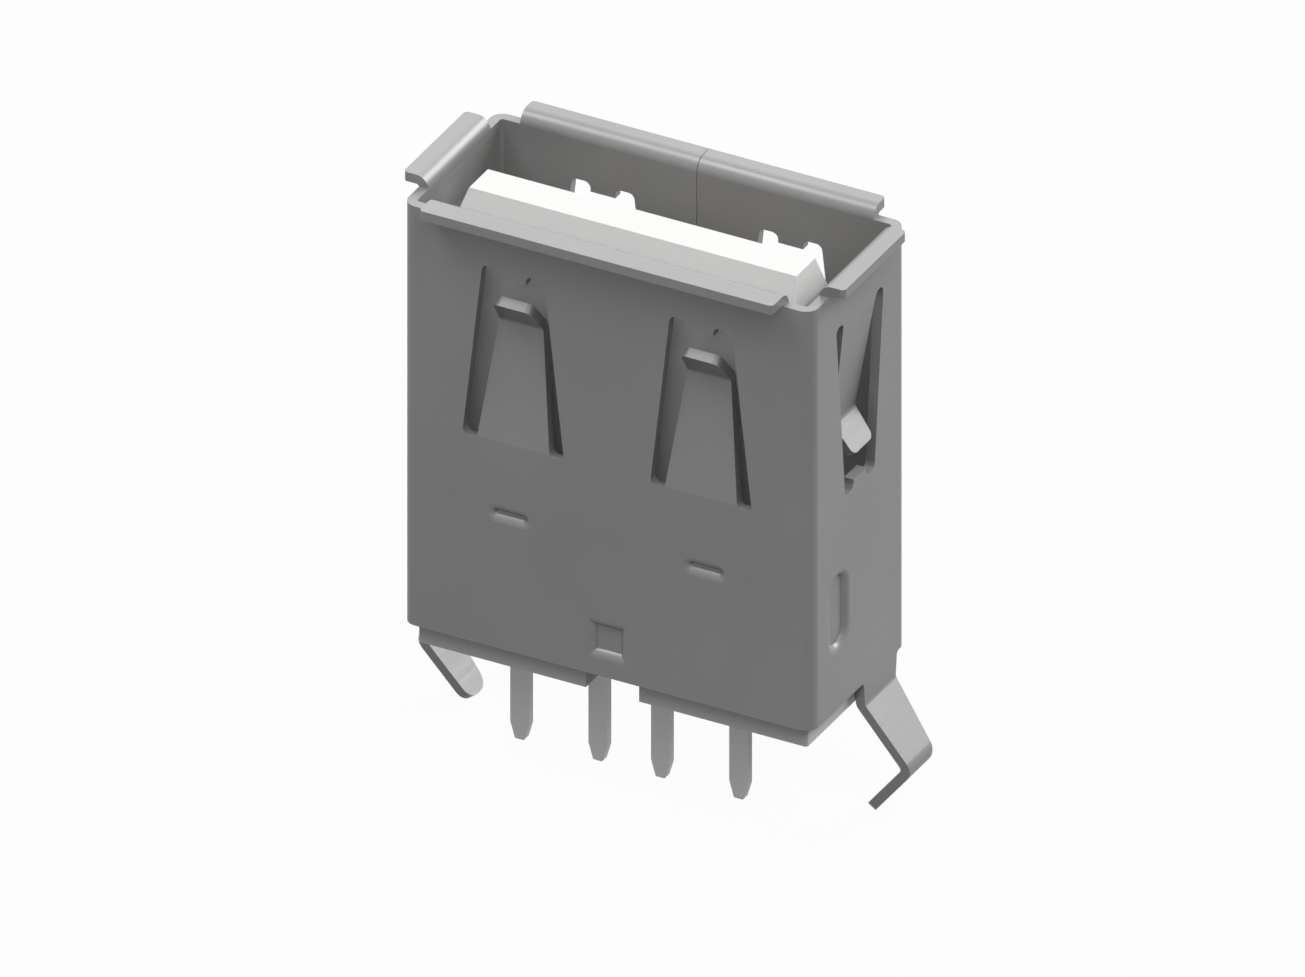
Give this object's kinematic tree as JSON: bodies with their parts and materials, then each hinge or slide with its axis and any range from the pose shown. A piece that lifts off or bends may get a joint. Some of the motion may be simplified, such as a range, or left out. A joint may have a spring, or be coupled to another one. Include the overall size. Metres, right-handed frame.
{
  "type": "usb-a socket",
  "caption": "Upright board-mount USB-A socket: folded metal shell with spring fingers, flanged mouth and snap-in legs around a white contact tongue.",
  "frame": {"origin": "on the board's surface, which is the underside of the housing, in the middle of the shell's outline", "axes": "+Z out of the mouth, against the plug's way in; X along the mouth's long side; -Y the wall with the square dimple and the notch below it"},
  "size_m": [0.0158, 0.0069, 0.0188],
  "materials": {
    "nickel_plated_steel": "satin nickel over folded sheet",
    "white_plastic": "moulded, slightly glossy",
    "tinned_contact": "plated strip, satin"
  },
  "bodies": {
    "root": {"shell": "nickel_plated_steel", "housing": "white_plastic", "contact_1": "tinned_contact", "contact_2": "tinned_contact", "contact_3": "tinned_contact", "contact_4": "tinned_contact"}
  },
  "joints": []
}
